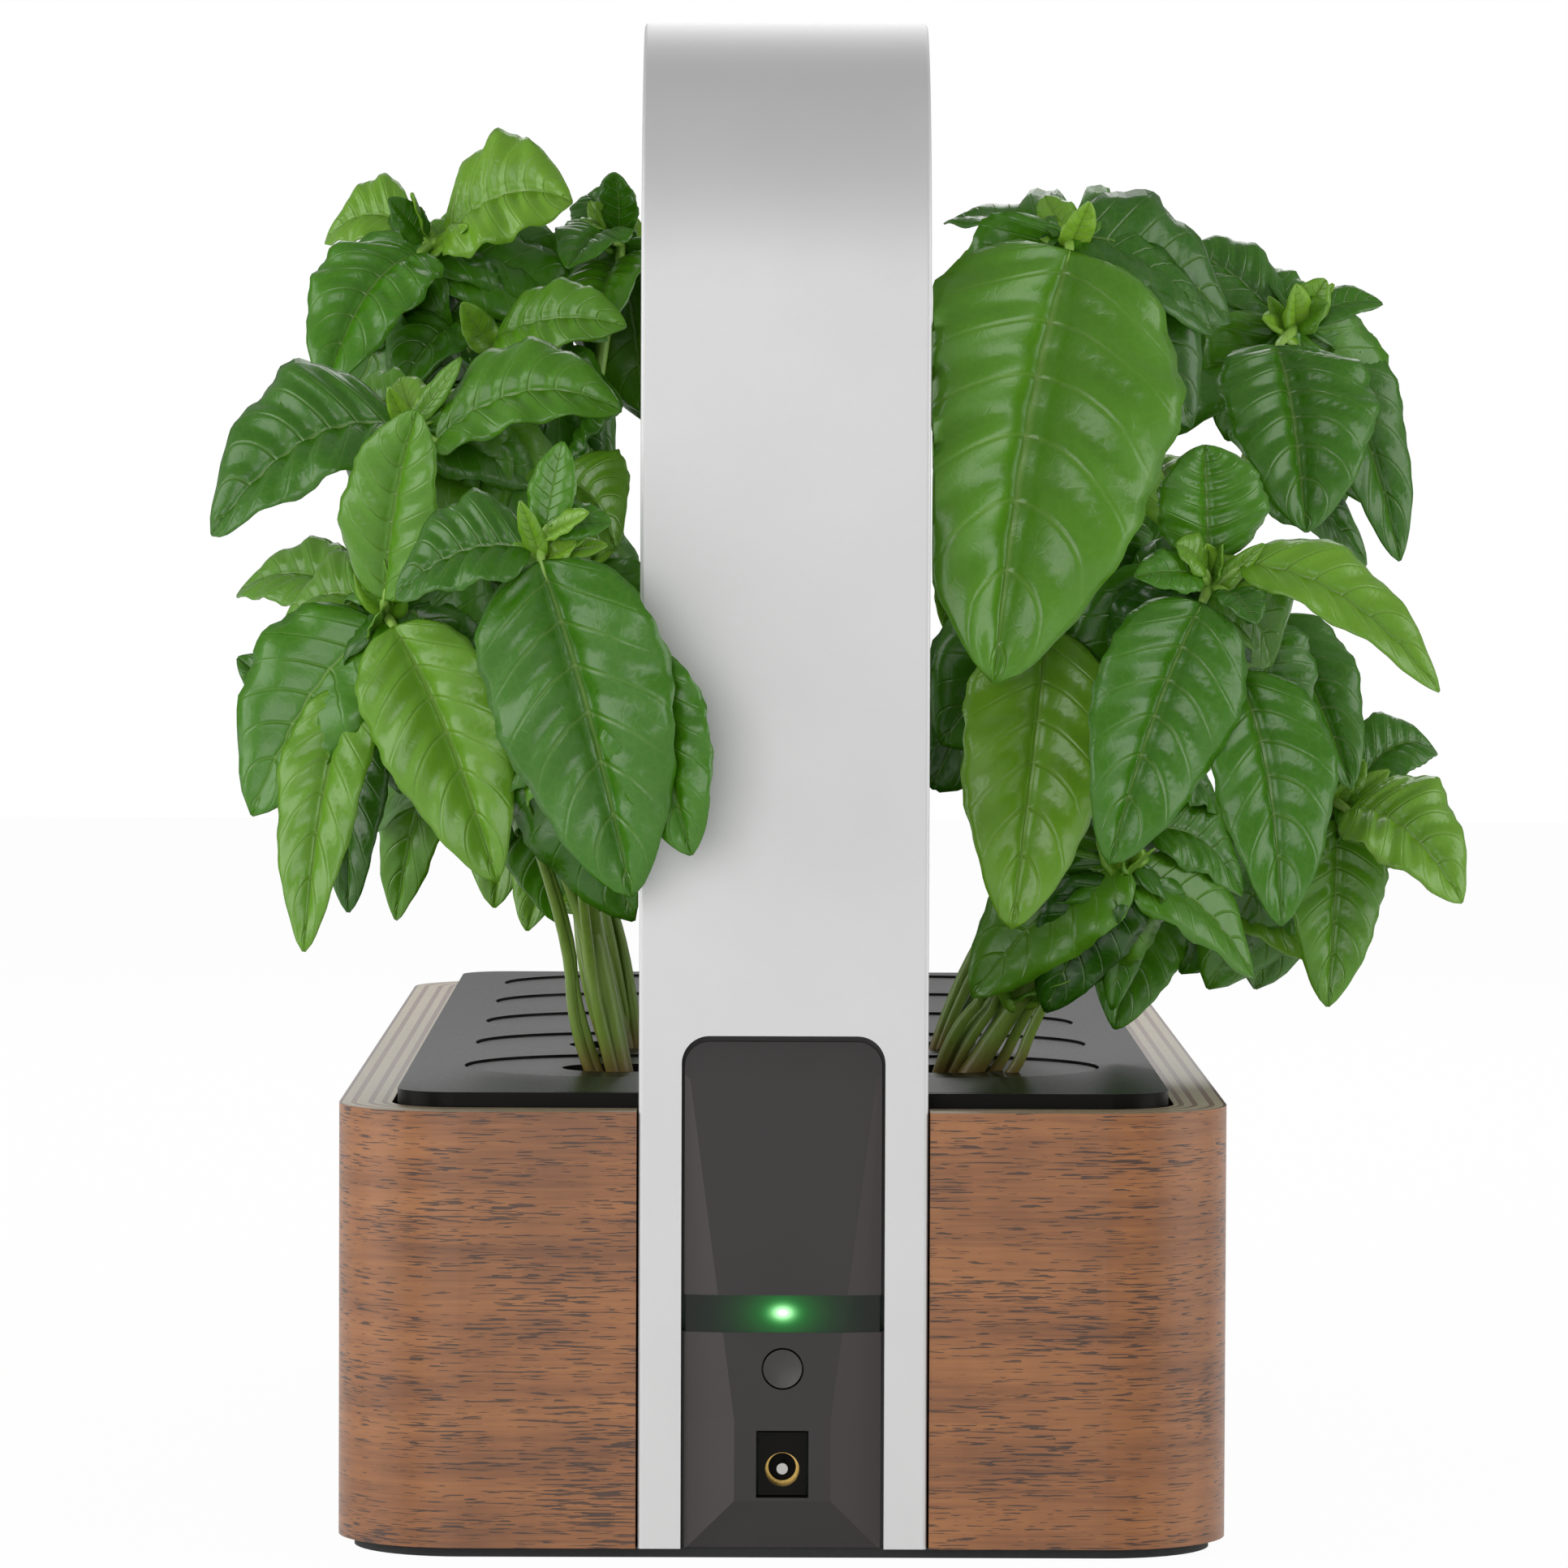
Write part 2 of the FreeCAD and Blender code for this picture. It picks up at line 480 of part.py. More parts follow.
# The lamp hangs under the arch's top, fed through a duct up the front leg
def make_lamp():
    top = "padThick + archTall - archThick"
    shell = box("lamp_shell", ("0", "0", f"{top} - lampTall"), ("lampWide", LAMP_LONG, "lampTall"))
    room = box("lamp_room", ("0", "0", f"{top} - lampTall - 1"),
               ("lampWide - 2 * lampWall", f"{LAMP_LONG} - 2 * lampWall", "lampTall + 1 - lampWall"))
    node("lamp_housing", cut("lamp", shell, room))
    inner = ("lampWide - 2 * lampWall - 2 * fitGap", f"{LAMP_LONG} - 2 * lampWall - 2 * fitGap")
    board_z = f"{top} - lampWall - boardThick"
    node("lamp_board", box("lamp_card", ("0", "0", board_z), (*inner, "boardThick")))
    count = int(size(f"({LAMP_LONG} - 2 * lampWall) / chipPitch"))
    chips = [box(f"chip_{row}_{index}", (f"{sign} * chipRows / 2",
                                         f"{index - (count - 1) / 2} * chipPitch",
                                         f"{board_z} - chipTall"), ("chipWide", "chipWide", "chipTall"))
             for row, sign in enumerate(("-1", "1")) for index in range(count)]
    group = doc.addObject("Part::Compound", "chips")
    group.Links = chips
    node("lamp_leds", group)
    node("lamp_cover", box("lamp_lens", ("0", "0", f"{top} - lampTall"), (*inner, "coverThick")))
    leg = "-(baseLong / 2) + archThick"
    duct_foot = "padThick + panelSlotTop + lipReach + 1"
    node("wire_duct", box("duct", ("0", f"{leg} + ductThick / 2", duct_foot),
                          ("ductWide", "ductThick", f"archTall - archCorner - ductEnd - ({duct_foot})")))


# Each plant has joints on its stems, in millimetres from its pod's centre at the lid's top, and
# leaves: the joint each grows from, its base, its tip, its width and how far its middle sags
PLANTS = {
    "03": {"column": -1, "row": 1, "stems": [["low", "high", "crown"], ["low", "mid", "arch"]],
           "joints": {"low": (-8, -6, 38), "mid": (-13, -6, 97), "high": (-24, -13, 135),
                      "crown": (-39, -21, 162), "arch": (-1, -3, 163)},
           "leaves": [("crown", (-36, -23, 163), (-10, -35, 170), 26, -5),
                      ("crown", (-41, -27, 160), (-59, -43, 132), 24, -5),
                      ("crown", (-40, -23, 163), (-47, -29, 171), 7, 0),
                      ("crown", (-37, -11, 160), (-18, -17, 154), 15, -3),
                      ("crown", (-43, -11, 165), (-61, -1, 163), 16, -4),
                      ("arch", (-1, -7, 165), (-2, -13, 177), 9, -1),
                      ("arch", (-2, -11, 163), (-11, -29, 157), 15, -3),
                      ("arch", (-3, 1, 165), (-8, 9, 173), 13, -2),
                      ("arch", (-1, -11, 158), (-5, -35, 143), 17, -4),
                      ("high", (-28, -17, 146), (-45, -35, 131), 20, -5),
                      ("high", (-21, -11, 150), (-2, -1, 155), 17, -4),
                      ("high", (-25, -35, 143), (1, -51, 145), 17, -4),
                      ("high", (-26, -31, 141), (-32, -39, 150), 7, 0),
                      ("high", (-35, -1, 135), (-60, 9, 133), 14, -3),
                      ("mid", (-14, -21, 114), (-1, -41, 101), 19, -4),
                      ("mid", (-11, -11, 120), (0, -21, 130), 18, -4),
                      ("mid", (-20, 4, 104), (-36, 19, 83), 20, -5),
                      ("mid", (-18, -1, 77), (-26, -11, 28), 24, -4),
                      ("low", (-13, -11, 54), (-19, -23, 24), 16, -3),
                      ("mid", (-11, -17, 81), (-4, -31, 50), 18, -4)]},
    "01": {"column": -1, "row": 0, "stems": [["low", "mid", "left", "tip"], ["low", "fork", "face", "over"]],
           "joints": {"low": (-6, -8, 33), "mid": (-25, -26, 70), "left": (-44, -38, 89),
                      "tip": (-39, -26, 125), "fork": (-10, -56, 71), "face": (-13, -87, 103),
                      "over": (2, -91, 85)},
           "leaves": [("tip", (-35, -30, 122), (1, -40, 128), 22, -6),
                      ("tip", (-42, -28, 125), (-78, -28, 104), 33, -7),
                      ("tip", (-41, -16, 129), (-56, 2, 126), 15, -3),
                      ("left", (-44, -46, 92), (-37, -60, 128), 20, -2),
                      ("left", (-47, -28, 90), (-66, -6, 85), 18, -4),
                      ("left", (-51, -8, 91), (-76, 20, 92), 16, -4),
                      ("left", (-53, -24, 74), (-74, -12, 80), 13, 3),
                      ("left", (-42, -48, 87), (-22, -58, 39), 25, -4),
                      ("left", (-50, -40, 75), (-59, -48, 25), 18, -5),
                      ("left", (-48, -32, 73), (-62, -34, 34), 16, -4),
                      ("left", (-49, -20, 70), (-52, -20, 31), 16, -4),
                      ("face", (-15, -88, 102), (-40, -84, 93), 23, -4),
                      ("face", (-12, -88, 106), (-9, -88, 122), 9, 0),
                      ("face", (-11, -88, 106), (0, -90, 107), 8, 0),
                      ("face", (-13, -90, 100), (4, -93, 38), 35, -3),
                      ("over", (5, -94, 83), (15, -97, 46), 20, -2),
                      ("mid", (-32, -8, 66), (-44, 8, 28), 15, -3),
                      ("mid", (-22, -18, 62), (-12, 2, 28), 21, -4),
                      ("mid", (-29, -13, 82), (-10, 2, 88), 18, -4),
                      ("mid", (-27, -8, 74), (-48, 22, 60), 18, -4)]},
    "04": {"column": 1, "row": 1, "stems": [["low", "mid", "crown"], ["low", "side"]],
           "joints": {"low": (19, -9, 33), "mid": (51, -15, 87), "crown": (71, -17, 146),
                      "side": (77, -43, 52)},
           "leaves": [("crown", (68, -13, 147), (47, -7, 161), 16, -4),
                      ("crown", (73, -15, 147), (89, -11, 151), 8, -2),
                      ("crown", (66, -35, 142), (71, -51, 105), 31, -4),
                      ("crown", (75, -11, 144), (93, -9, 99), 20, -6),
                      ("crown", (71, -11, 150), (64, -1, 157), 10, -2),
                      ("mid", (61, -7, 114), (87, 1, 98), 18, -4),
                      ("mid", (63, -51, 88), (79, -67, 55), 20, -4),
                      ("mid", (43, -1, 97), (29, 9, 120), 22, -4),
                      ("mid", (51, 11, 80), (46, 41, 47), 22, -4),
                      ("side", (80, -49, 50), (102, -55, 32), 25, -6),
                      ("side", (78, -45, 48), (76, -49, 11), 20, -4),
                      ("side", (83, -37, 55), (99, -27, 61), 14, -4),
                      ("low", (45, -31, 34), (34, -43, 6), 20, -3),
                      ("low", (51, -31, 31), (76, -39, 19), 22, -5),
                      ("low", (23, -9, 41), (15, -17, 18), 13, -2),
                      ("low", (36, -11, 48), (53, -11, 20), 20, -4)]},
    "02": {"column": 1, "row": 0, "stems": [["low", "fork", "head"], ["low", "mid", "crown"]],
           "joints": {"low": (14, -8, 14), "fork": (34, -22, 41), "head": (49, -38, 95),
                      "mid": (21, -32, 89), "crown": (22, -34, 161)},
           "leaves": [("crown", (22, -40, 159), (7, -66, 77), 52, -5),
                      ("crown", (18, -28, 162), (-1, -6, 165), 11, -2),
                      ("crown", (17, -18, 161), (-1, -4, 150), 14, -3),
                      ("crown", (24, -34, 163), (28, -32, 165), 5, 0),
                      ("crown", (20, -34, 163), (17, -36, 164), 5, 0),
                      ("crown", (27, -18, 161), (44, 12, 152), 18, -4),
                      ("head", (49, -34, 100), (48, -36, 122), 22, -2),
                      ("head", (47, -46, 97), (34, -54, 97), 10, -1),
                      ("head", (48, -44, 98), (42, -48, 103), 9, -1),
                      ("head", (52, -46, 94), (57, -54, 88), 10, -1),
                      ("head", (55, -40, 99), (93, -40, 75), 18, -6),
                      ("head", (47, -50, 92), (29, -64, 43), 28, -3),
                      ("head", (54, -44, 79), (62, -56, 31), 24, -4),
                      ("head", (57, -28, 86), (67, -18, 62), 18, -3),
                      ("head", (44, -18, 104), (40, 2, 120), 18, -3),
                      ("mid", (18, -40, 87), (11, -52, 30), 29, -3),
                      ("mid", (11, -18, 107), (0, -8, 85), 17, -3),
                      ("mid", (27, -18, 98), (37, 2, 107), 18, -3),
                      ("fork", (36, -16, 35), (32, -12, 12), 9, -2),
                      ("fork", (39, -14, 47), (58, 0, 34), 20, -4),
                      ("fork", (39, -12, 57), (53, 0, 50), 18, -4)]},
}


# Shares of a leaf's length and width at which its outline is set
LEAF_STEPS = ((0.0, 0.04), (0.07, 0.55), (0.2, 0.88), (0.42, 1.0), (0.65, 0.92), (0.85, 0.6), (1.0, 0.04))


def leaf_solid(joint, base, tip, wide, sag, away):
    # A stalk from the joint, and diamond sections along a bowed midrib, the halves folded up
    run = tip - base
    if abs(run.z) < 0.7 * run.Length:
        facing = Vector(away * 0.5, -1.1, 0.9)
    else:
        facing = Vector(away * 0.35, -1, 0.35)
    side = run.cross(facing).normalize()
    up = side.cross(run).normalize()
    thick, stalk = size("leafThick"), size("stalkThick")
    wires = []
    for along, share in LEAF_STEPS:
        middle = base + run * along + Vector(0, 0, -4 * sag * along * (1 - along))
        half = max(wide * share / 2, stalk / 2)
        rise = up * (half * 0.28)
        ring = [middle + side * half + rise, middle + up * (thick / 2),
                middle - side * half + rise, middle - up * (thick / 2)]
        wires.append(Part.makePolygon(ring + ring[:1]))
    blade = Part.makeLoft(wires, True, True)
    reach = base + run * 0.03 - joint
    return blade.fuse(Part.makeCylinder(stalk / 2, reach.Length, joint, reach))


def tube(start, end, thick):
    rod_shape = Part.makeCylinder(thick / 2, (end - start).Length, start, end - start)
    return rod_shape.fuse(Part.makeSphere(thick / 2, end))


def make_plants():
    foot = size(f"{LID_TOP} - lidThick + ledgeTall - basketTall + basketWall + plugTall")
    for tag, plant in PLANTS.items():
        column = plant["column"]
        centre = Vector(column * size("podSpread / 2"), size(row_place(plant["row"])), size(LID_TOP))
        joints = {name: centre + Vector(*spot) for name, spot in plant["joints"].items()}
        stems = []
        for number, run in enumerate(plant["stems"]):
            step_aside = (number - 0.5) * size("stemThick")
            start = Vector(centre.x - column * size("stemThick / 2"), centre.y + step_aside, foot)
            points = [start] + [joints[name] for name in run]
            for step, ends in enumerate(zip(points, points[1:])):
                stems.append(tube(*ends, size("stemThick" if step == 0 else "twigThick")))
        node(f"basil_stems_{tag}", solid(f"stems_{tag}", stems[0].multiFuse(stems[1:])))
        leaves = []
        for joint, base, tip, wide, sag in plant["leaves"]:
            ends = centre + Vector(*base), centre + Vector(*tip)
            leaves.append(leaf_solid(joints[joint], *ends, wide, sag, column))
        node(f"basil_leaves_{tag}", solid(f"leaves_{tag}", Part.makeCompound(leaves)))


for build in (make_base, make_arch, make_panel, make_button, make_jack, make_bracket, make_tank,
              make_pump, make_float, make_lid, make_pods, make_lamp, make_plants):
    build()
doc.recompute()

for thing in doc.Objects:
    if "Invalid" in thing.State or "Error" in thing.State:
        raise RuntimeError(f"{thing.Name} failed to compute")
for label, thing in parts.items():
    if thing.Shape.isNull() or not thing.Shape.isValid() or not thing.Shape.Solids:
        raise RuntimeError(f"{label} has no sound shape")

os.makedirs("parts", exist_ok=True)
for label, thing in parts.items():
    thing.Shape.exportStep(f"parts/{label}.step")
    print(label, len(thing.Shape.Solids), round(thing.Shape.Volume, 1))
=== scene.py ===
import json
import math
import random
import bpy
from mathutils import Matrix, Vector


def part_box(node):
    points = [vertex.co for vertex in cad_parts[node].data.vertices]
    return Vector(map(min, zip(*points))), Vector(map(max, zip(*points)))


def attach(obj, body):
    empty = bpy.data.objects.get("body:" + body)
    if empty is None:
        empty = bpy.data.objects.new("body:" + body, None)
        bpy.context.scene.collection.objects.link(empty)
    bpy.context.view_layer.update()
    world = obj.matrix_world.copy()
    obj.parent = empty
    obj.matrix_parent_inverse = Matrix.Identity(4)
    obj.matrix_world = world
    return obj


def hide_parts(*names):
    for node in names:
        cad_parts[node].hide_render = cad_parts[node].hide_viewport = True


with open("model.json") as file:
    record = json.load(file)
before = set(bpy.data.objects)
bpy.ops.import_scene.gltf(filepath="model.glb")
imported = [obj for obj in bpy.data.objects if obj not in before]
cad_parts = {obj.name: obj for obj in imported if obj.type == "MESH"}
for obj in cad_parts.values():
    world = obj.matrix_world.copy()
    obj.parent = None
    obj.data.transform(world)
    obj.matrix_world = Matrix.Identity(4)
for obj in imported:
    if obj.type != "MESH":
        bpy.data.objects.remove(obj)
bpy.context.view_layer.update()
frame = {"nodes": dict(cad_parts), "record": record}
nodes = frame["nodes"]
print("frame loaded")

photoView = {"lens": 182.6, "sensor": 36, "place": (-0.0064, -1.672, 0.2026),
             "pitch": 0.0389, "turn": 0.0041, "roll": 0.0036}


def addCamera():
    bpy.ops.object.camera_add(location=photoView["place"])
    camera = bpy.context.object
    camera.rotation_euler = (math.pi / 2 - photoView["pitch"], -photoView["roll"], -photoView["turn"])
    camera.data.lens = photoView["lens"]
    camera.data.sensor_width = photoView["sensor"]
    camera.data.clip_start = 0.05
    bpy.context.scene.camera = camera


addCamera()


class Finish:
    # A material and short ways to add the nodes that shape it
    def __init__(self, name):
        self.material = bpy.data.materials.new(name)
        self.material.use_nodes = True
        self.tree = self.material.node_tree
        self.shader = self.tree.nodes["Principled BSDF"]
        self.output = self.tree.nodes["Material Output"]

    def add(self, kind, **settings):
        item = self.tree.nodes.new("ShaderNode" + kind)
        for key, value in settings.items():
            if hasattr(item, key):
                setattr(item, key, value)
            else:
                item.inputs[key.replace("_", " ")].default_value = value
        return item

    def join(self, source, target):
        self.tree.links.new(source, target)

    def math(self, work, first, second=None, third=None):
        item = self.add("Math", operation=work)
        for number, value in enumerate((first, second, third)):
            if value is None:
                continue
            if isinstance(value, (int, float)):
                item.inputs[number].default_value = value
            else:
                self.join(value, item.inputs[number])
        return item.outputs[0]

    def place(self, scale=(1, 1, 1)):
        mapping = self.add("Mapping")
        mapping.inputs["Scale"].default_value = scale
        self.join(self.add("TexCoord").outputs["Object"], mapping.inputs["Vector"])
        return mapping.outputs[0]

    def noise(self, place, size, detail=4, rough=0.5):
        item = self.add("TexNoise")
        item.inputs["Scale"].default_value = size
        item.inputs["Detail"].default_value = detail
        item.inputs["Roughness"].default_value = rough
        self.join(place, item.inputs["Vector"])
        return item.outputs["Fac"]

    def ramp(self, source, stops, interpolation="LINEAR"):
        item = self.add("ValToRGB")
        item.color_ramp.interpolation = interpolation
        points = item.color_ramp.elements
        while len(points) < len(stops):
            points.new(0.5)
        for point, (spot, color) in zip(points, stops):
            point.position = spot
            point.color = (*color, 1)
        self.join(source, item.inputs["Fac"])
        return item.outputs["Color"]

    def mix(self, share, first, second, blend="MIX"):
        item = self.add("Mix", data_type="RGBA", blend_type=blend)
        for socket, value in ((item.inputs[0], share), (item.inputs[6], first), (item.inputs[7], second)):
            if isinstance(value, (int, float)):
                socket.default_value = value
            elif isinstance(value, tuple):
                socket.default_value = (*value, 1)
            else:
                self.join(value, socket)
        return item.outputs[2]

    def bump(self, height, strength, distance):
        item = self.add("Bump")
        item.inputs["Strength"].default_value = strength
        item.inputs["Distance"].default_value = distance
        self.join(height, item.inputs["Height"])
        self.join(item.outputs[0], self.shader.inputs["Normal"])

    def plain(self, **sockets):
        for key, value in sockets.items():
            socket = self.shader.inputs[key.replace("_", " ")]
            socket.default_value = (*value, 1) if isinstance(value, tuple) else value


def linear(red, green, blue):
    # Photograph colours are counted from 0 to 255
    def channel(value):
        part = value / 255
        return part / 12.92 if part <= 0.04045 else ((part + 0.055) / 1.055) ** 2.4
    return channel(red), channel(green), channel(blue)


# The band's half width and half length, its corner radius and its wall, which shows the plies
walnut = {"half": (0.084, 0.193), "corner": 0.0234, "rim": 0.010, "topFacing": 0.7,
          "poreZone": 0.35, "poreLevel": 0.795, "poreShare": 0.85}


def walnutFinish():
    f = Finish("walnutPly")
    split = f.add("SeparateXYZ")
    f.join(f.add("TexCoord").outputs["Object"], split.inputs[0])
    figure = f.noise(f.place((4, 4, 26)), 5, 5, 0.6)
    streak = f.noise(f.place((7, 7, 330)), 4, 6, 0.65)
    shimmer = f.noise(f.place((38, 38, 3)), 3, 3, 0.5)
    color = f.ramp(f.math("ADD", f.math("MULTIPLY", figure, 0.6), f.math("MULTIPLY", streak, 0.4)),
                   [(0.3, linear(98, 58, 30)), (0.45, linear(132, 82, 43)),
                    (0.56, linear(150, 96, 52)), (0.72, linear(168, 112, 62))])
    sheen = f.ramp(shimmer, [(0.3, (0.74, 0.72, 0.7)), (0.65, (1, 1, 1))])
    color = f.mix(0.55, color, sheen, "MULTIPLY")
    dash = f.noise(f.place((210, 210, 3600)), 1, 1, 0.4)
    zone = f.noise(f.place((22, 22, 60)), 2, 2)
    level = f.math("ADD", dash, f.math("MULTIPLY", zone, walnut["poreZone"]))
    pore = f.math("GREATER_THAN", level, walnut["poreLevel"])
    color = f.mix(f.math("MULTIPLY", pore, walnut["poreShare"]), color, linear(44, 26, 16))
    # How deep a point lies inside the rounded outline picks its ply on the rim
    inset = [f.math("SUBTRACT", f.math("ABSOLUTE", split.outputs[axis]), half - walnut["corner"])
             for axis, half in enumerate(walnut["half"])]
    away = [f.math("MAXIMUM", reach, 0) for reach in inset]
    far = f.math("SQRT", f.math("ADD", f.math("POWER", away[0], 2), f.math("POWER", away[1], 2)))
    near = f.math("MINIMUM", f.math("MAXIMUM", inset[0], inset[1]), 0)
    depth = f.math("SUBTRACT", walnut["corner"], f.math("ADD", far, near))
    pale, brown, dark = linear(176, 163, 134), linear(120, 84, 62), linear(92, 58, 42)
    plies = f.ramp(f.math("DIVIDE", depth, walnut["rim"]),
                   [(0, dark), (0.06, pale), (0.22, brown), (0.33, pale), (0.54, brown), (0.65, pale),
                    (0.8, brown), (0.9, pale)], "CONSTANT")
    stain = f.ramp(f.noise(f.place((90, 90, 90)), 9, 4), [(0.35, (0.6, 0.55, 0.5)), (0.6, (1, 1, 1))])
    plies = f.mix(0.5, plies, stain, "MULTIPLY")
    facing = f.add("SeparateXYZ")
    f.join(f.add("NewGeometry").outputs["Normal"], facing.inputs[0])
    rim = f.math("GREATER_THAN", facing.outputs[2], walnut["topFacing"])
    f.join(f.mix(rim, color, plies), f.shader.inputs["Base Color"])
    f.plain(Roughness=0.42, Specular_IOR_Level=0.5, Coat_Weight=0.12, Coat_Roughness=0.3)
    f.bump(f.math("SUBTRACT", f.math("MULTIPLY", streak, 0.25), pore), 0.35, 0.0002)
    return f.material


def speckled(name, color, rough, metallic=0.0, grain=1500, depth=0.00003, lift=0.12, **more):
    # A moulded or blasted surface: fine grain in its bump and a little unevenness in its colour
    f = Finish(name)
    fine = f.noise(f.place(), grain, 2)
    broad = f.noise(f.place(), 30, 3)
    low = tuple(part * (1 - lift) for part in color)
    f.join(f.ramp(broad, [(0.35, low), (0.65, color)]), f.shader.inputs["Base Color"])
    spread = 0.12
    shift = f.math("MULTIPLY_ADD", fine, spread, rough - spread / 2)
    f.join(shift, f.shader.inputs["Roughness"])
    f.plain(Metallic=metallic, **more)
    f.bump(fine, 0.5, depth)
    return f.material


def panelFinish():
    # Painted highlight: the panel's tilted facets are painted lighter than its flat middle, standing in for
    # the side light they catch
    f = Finish("panelGrey")
    leastTilt = 0.06
    facing = f.add("SeparateXYZ")
    f.join(f.add("NewGeometry").outputs["Normal"], facing.inputs[0])
    paintedLitFacet = f.math("GREATER_THAN", f.math("ABSOLUTE", facing.outputs[0]), leastTilt)
    broad = f.noise(f.place(), 60, 3)
    middle = f.ramp(broad, [(0.3, linear(35, 31, 30)), (0.7, linear(40, 36, 35))])
    # painted highlight: tilted facets take a lighter grey in place of the light falling on them
    f.join(f.mix(paintedLitFacet, middle, linear(58, 53, 52)), f.shader.inputs["Base Color"])
    fine = f.noise(f.place(), 2400, 2)
    f.plain(Roughness=0.48, Specular_IOR_Level=0.4)
    f.bump(fine, 0.4, 0.00002)
    return f.material


def podFinish():
    # The caps carry fine moulded lines
    f = Finish("podLines")
    lines = f.add("TexWave", wave_type="BANDS", bands_direction="Y")
    lines.inputs["Scale"].default_value = 260
    f.join(f.place(), lines.inputs["Vector"])
    tone = f.noise(f.place(), 40, 3)
    black = f.ramp(tone, [(0.3, linear(14, 14, 12)), (0.7, linear(22, 22, 19))])
    f.join(black, f.shader.inputs["Base Color"])
    f.plain(Roughness=0.26, Specular_IOR_Level=0.15, IOR=1.3)
    f.bump(lines.outputs["Fac"], 0.3, 0.00006)
    return f.material


# The lamp behind the window: its height, its bright middle and how far its light reaches
glow = {"high": 0.0462, "squeeze": 1.5, "core": 0.0014, "spread": 0.0048}


def windowFinish():
    f = Finish("indicatorGlass")
    split = f.add("SeparateXYZ")
    f.join(f.add("TexCoord").outputs["Object"], split.inputs[0])
    across = f.math("DIVIDE", split.outputs[0], glow["squeeze"])
    up = f.math("SUBTRACT", split.outputs[2], glow["high"])
    reach = f.math("SQRT", f.math("ADD", f.math("POWER", across, 2), f.math("POWER", up, 2)))
    halo = f.math("EXPONENT", f.math("DIVIDE", reach, -glow["spread"] / 2))
    share = f.math("POWER", f.math("DIVIDE", reach, glow["core"]), 2)
    core = f.math("EXPONENT", f.math("MULTIPLY", share, -1))
    tone = f.mix(core, (0.0, 0.42, 0.04), (0.5, 1.0, 0.5))
    f.join(tone, f.shader.inputs["Emission Color"])
    f.join(f.math("ADD", f.math("MULTIPLY", halo, 0.9), f.math("MULTIPLY", core, 1.5)),
           f.shader.inputs["Emission Strength"])
    smudge = f.noise(f.place(), 120, 3)
    black = f.ramp(smudge, [(0.3, linear(12, 12, 12)), (0.7, linear(18, 18, 17))])
    f.join(black, f.shader.inputs["Base Color"])
    f.plain(Roughness=0.15, Specular_IOR_Level=0.3)
    return f.material


# Side veins on a leaf: pairs of them and how far they sweep towards the tip at the edge
veins = {"pairs": 7, "sweep": 0.2, "curve": 1.25, "thin": 16, "rib": 26, "net": 430}


def leafFinish():
    # U runs across the leaf and V from stalk to tip; tint differs from leaf to leaf
    f = Finish("basilLeaf")
    split = f.add("SeparateXYZ")
    f.join(f.add("UVMap").outputs[0], split.inputs[0])
    side = f.math("ABSOLUTE", f.math("MULTIPLY_ADD", split.outputs[0], 2, -1))
    along = split.outputs[1]
    lag = f.math("MULTIPLY", f.math("POWER", side, veins["curve"]), veins["sweep"])
    sweep = f.math("MULTIPLY", f.math("SUBTRACT", along, lag), veins["pairs"])
    wave = f.math("ABSOLUTE", f.math("SUBTRACT", f.math("FRACT", sweep), 0.5))
    branch = f.math("SMOOTH_MIN", f.math("MULTIPLY", wave, veins["thin"]), 1, 0.4)
    branch = f.math("SUBTRACT", 1, branch)
    branch = f.math("MULTIPLY", f.math("MAXIMUM", branch, 0), f.math("SUBTRACT", 1.05, side))
    rib = f.math("MAXIMUM", f.math("SUBTRACT", 1, f.math("MULTIPLY", side, veins["rib"])), 0)
    net = f.add("TexVoronoi", feature="DISTANCE_TO_EDGE")
    net.inputs["Scale"].default_value = veins["net"]
    f.join(f.place(), net.inputs["Vector"])
    mesh = f.math("MULTIPLY", net.outputs["Distance"], 7)
    fine = f.math("MAXIMUM", f.math("SUBTRACT", 1, mesh), 0)
    vein = f.math("MAXIMUM", rib, branch)
    tint = f.add("Attribute", attribute_name="tint").outputs["Fac"]
    green = f.ramp(tint, [(0, linear(34, 88, 4)), (0.5, linear(74, 138, 12)),
                          (1, linear(146, 196, 56))])
    patch = f.noise(f.place(), 90, 3)
    mottle = f.ramp(patch, [(0.3, (0.72, 0.78, 0.7)), (0.7, (1, 1, 1))])
    green = f.mix(0.5, green, mottle, "MULTIPLY")
    green = f.mix(f.math("MULTIPLY", fine, 0.06), green, linear(150, 185, 90))
    pale = f.math("ADD", f.math("MULTIPLY", branch, 0.22), f.math("MULTIPLY", rib, 0.4))
    green = f.mix(pale, green, linear(168, 200, 112))
    top = f.add("Attribute", attribute_name="topSide").outputs["Vector"]
    facing = f.add("VectorMath", operation="DOT_PRODUCT")
    f.join(f.add("NewGeometry").outputs["Normal"], facing.inputs[0])
    f.join(top, facing.inputs[1])
    under = f.math("LESS_THAN", facing.outputs["Value"], 0)
    green = f.mix(f.math("MULTIPLY", under, 0.5), green, linear(118, 160, 70))
    f.join(green, f.shader.inputs["Base Color"])
    f.plain(Roughness=0.3, Specular_IOR_Level=0.6)
    sunk = f.math("ADD", vein, f.math("MULTIPLY", fine, 0.05))
    f.bump(f.math("SUBTRACT", f.math("MULTIPLY", patch, 0.35), sunk), 0.55, 0.0006)
    through = f.add("BsdfTranslucent")
    f.join(f.mix(0.5, green, linear(150, 200, 40)), through.inputs["Color"])
    share = f.add("MixShader")
    share.inputs[0].default_value = 0.28
    f.join(f.shader.outputs[0], share.inputs[1])
    f.join(through.outputs[0], share.inputs[2])
    f.join(share.outputs[0], f.output.inputs[0])
    return f.material


# Stems turn from brown at the lid to green over their first centimetres
stemTone = {"foot": 0.086, "reach": 0.12, "greenAt": 0.06}


